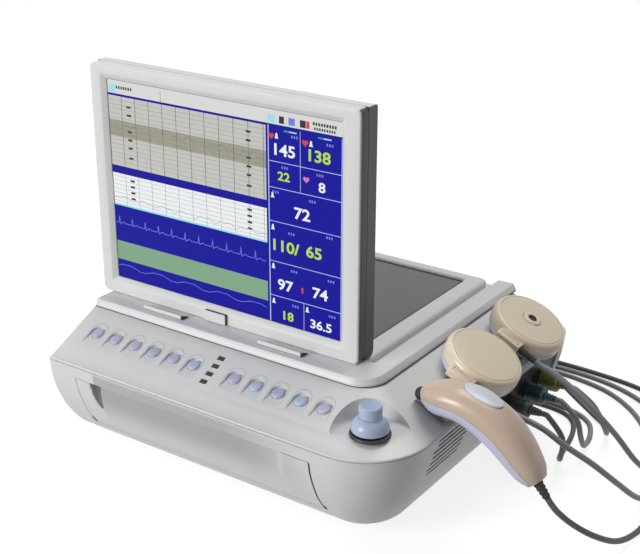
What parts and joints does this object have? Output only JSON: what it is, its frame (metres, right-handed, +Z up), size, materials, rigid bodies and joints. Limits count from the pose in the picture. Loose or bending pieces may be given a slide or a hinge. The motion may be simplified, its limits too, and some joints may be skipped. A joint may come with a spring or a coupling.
{
  "type": "fetal monitor",
  "caption": "Bedside fetal monitor: folding screen on a sloped base with round keys, jog knob, chart recorder door, two round probes and a curved handset on cables.",
  "frame": {"origin": "bottom centre of the bounding box of the monitor without its cables and plugs", "axes": "+X to the user's right, +Y from the front to the rear, +Z up"},
  "size_m": [0.5001, 0.4276, 0.344],
  "materials": {
    "housing_white": "fine satin moulded plastic",
    "shell_grey": "satin dark grey plastic",
    "gloss_grey": "glossy grey plastic",
    "screen_glass": "display panel behind a clear cover",
    "key_lavender": "satin lavender blue key caps",
    "dark_plastic": "dark moulded plastic",
    "knob_blue": "satin lavender blue plastic",
    "probe_beige": "satin beige plastic",
    "probe_lavender": "satin lavender plastic",
    "rubber_dark": "dark rubber",
    "cable_grey": "smooth grey cable jacket",
    "plug_teal": "dark teal plastic",
    "plug_olive": "olive plastic",
    "steel": "plain steel",
    "board_green": "circuit board laminate",
    "paper_white": "folded chart paper"
  },
  "bodies": {
    "base": {"lower_housing": "housing_white", "upper_housing": "housing_white", "platform_ring": "housing_white", "cradle_frame": "housing_white", "cradle_floor": "gloss_grey", "tilt_bracket_left": "steel", "tilt_bracket_right": "steel", "key_board": "board_green", "indicator_bar": "dark_plastic", "knob_ring": "dark_plastic", "encoder_body": "dark_plastic", "recorder_frame": "shell_grey", "print_head": "steel", "paper_pack": "paper_white", "main_board": "board_green", "mains_inlet": "dark_plastic", "connector_panel": "dark_plastic", "handset_plug": "dark_plastic", "front_probe_plug": "plug_teal", "rear_probe_plug": "plug_olive", "foot_rail_left": "rubber_dark", "foot_rail_right": "rubber_dark", "probe_rack": "rubber_dark", "front_probe_cable_out": "cable_grey", "front_probe_cable_coil": "cable_grey", "front_probe_cable_back": "cable_grey", "rear_probe_cable_out": "cable_grey", "rear_probe_cable_coil": "cable_grey", "rear_probe_cable_back": "cable_grey", "handset_cable_out": "cable_grey", "handset_cable_coil": "cable_grey", "handset_cable_back": "cable_grey"},
    "display": {"display_bezel": "housing_white", "display_shell": "shell_grey", "screen_panel": "screen_glass", "front_plate": "housing_white"},
    "knob_shaft": {"knob_shaft": "steel"},
    "control_knob": {"control_knob": "knob_blue"},
    "recorder_door": {"recorder_door": "housing_white"},
    "platen_roller": {"platen_roller": "rubber_dark"},
    "front_probe": {"front_probe_shell": "probe_beige", "front_probe_base": "probe_lavender"},
    "rear_probe": {"rear_probe_shell": "probe_beige", "rear_probe_base": "probe_lavender"},
    "probe_sensor": {"probe_sensor": "probe_lavender"},
    "handset": {"handset_upper": "probe_beige", "handset_lower": "probe_lavender", "handset_tip": "rubber_dark"},
    "handset_button": {"handset_button": "probe_lavender"},
    "key_01": {"key_01": "key_lavender"},
    "key_02": {"key_02": "key_lavender"},
    "key_03": {"key_03": "key_lavender"},
    "key_04": {"key_04": "key_lavender"},
    "key_05": {"key_05": "key_lavender"},
    "key_06": {"key_06": "key_lavender"},
    "key_07": {"key_07": "key_lavender"},
    "key_08": {"key_08": "key_lavender"},
    "key_09": {"key_09": "key_lavender"},
    "key_10": {"key_10": "key_lavender"},
    "key_11": {"key_11": "key_lavender"}
  },
  "joints": [
    {"name": "display_tilt", "type": "hinge", "parent": "base", "child": "display", "pos_m": [-0.08658, -0.0595, 0.1345], "axis": [-1, 0, 0], "range_deg": [0, 90]},
    {"name": "knob_push", "type": "slide", "parent": "base", "child": "knob_shaft", "axis": [0, 0, -1], "range_m": [0, 0.0008], "stiffness_N_per_m": 3000},
    {"name": "knob_turn", "type": "hinge", "parent": "knob_shaft", "child": "control_knob", "pos_m": [0.09782, -0.128, 0.11], "axis": [0, 0, 1], "continuous": true},
    {"name": "door_hinge", "type": "hinge", "parent": "base", "child": "recorder_door", "pos_m": [-0.06278, -0.136, 0.038], "axis": [1, 0, 0], "range_deg": [0, 80]},
    {"name": "roller_spin", "type": "hinge", "parent": "base", "child": "platen_roller", "pos_m": [-0.06528, -0.1455, 0.074], "axis": [1, 0, 0], "continuous": true},
    {"name": "front_probe_lift", "type": "slide", "parent": "base", "child": "front_probe", "axis": [0.4382, 0, 0.8989], "range_m": [0, 0.05]},
    {"name": "rear_probe_lift", "type": "slide", "parent": "base", "child": "rear_probe", "axis": [0.4382, 0, 0.8989], "range_m": [0, 0.05]},
    {"name": "probe_sensor_press", "type": "slide", "parent": "rear_probe", "child": "probe_sensor", "axis": [-0.4382, 0, -0.8989], "range_m": [0, 0.001], "stiffness_N_per_m": 800},
    {"name": "handset_lift", "type": "slide", "parent": "base", "child": "handset", "axis": [0, 0, 1], "range_m": [0, 0.06]},
    {"name": "handset_press", "type": "slide", "parent": "handset", "child": "handset_button", "axis": [-0.3162, 0, -0.9487], "range_m": [0, 0.001], "stiffness_N_per_m": 800},
    {"name": "key_01_press", "type": "slide", "parent": "base", "child": "key_01", "axis": [0, 0.2419, -0.9703], "range_m": [0, 0.0009], "stiffness_N_per_m": 450},
    {"name": "key_02_press", "type": "slide", "parent": "base", "child": "key_02", "axis": [0, 0.2419, -0.9703], "range_m": [0, 0.0009], "stiffness_N_per_m": 450},
    {"name": "key_03_press", "type": "slide", "parent": "base", "child": "key_03", "axis": [0, 0.2419, -0.9703], "range_m": [0, 0.0009], "stiffness_N_per_m": 450},
    {"name": "key_04_press", "type": "slide", "parent": "base", "child": "key_04", "axis": [0, 0.2419, -0.9703], "range_m": [0, 0.0009], "stiffness_N_per_m": 450},
    {"name": "key_05_press", "type": "slide", "parent": "base", "child": "key_05", "axis": [0, 0.2419, -0.9703], "range_m": [0, 0.0009], "stiffness_N_per_m": 450},
    {"name": "key_06_press", "type": "slide", "parent": "base", "child": "key_06", "axis": [0, 0.2419, -0.9703], "range_m": [0, 0.0009], "stiffness_N_per_m": 450},
    {"name": "key_07_press", "type": "slide", "parent": "base", "child": "key_07", "axis": [0, 0.2419, -0.9703], "range_m": [0, 0.0009], "stiffness_N_per_m": 450},
    {"name": "key_08_press", "type": "slide", "parent": "base", "child": "key_08", "axis": [0, 0.2419, -0.9703], "range_m": [0, 0.0009], "stiffness_N_per_m": 450},
    {"name": "key_09_press", "type": "slide", "parent": "base", "child": "key_09", "axis": [0, 0.2419, -0.9703], "range_m": [0, 0.0009], "stiffness_N_per_m": 450},
    {"name": "key_10_press", "type": "slide", "parent": "base", "child": "key_10", "axis": [0, 0.2419, -0.9703], "range_m": [0, 0.0009], "stiffness_N_per_m": 450},
    {"name": "key_11_press", "type": "slide", "parent": "base", "child": "key_11", "axis": [0, 0.2419, -0.9703], "range_m": [0, 0.0009], "stiffness_N_per_m": 450}
  ]
}
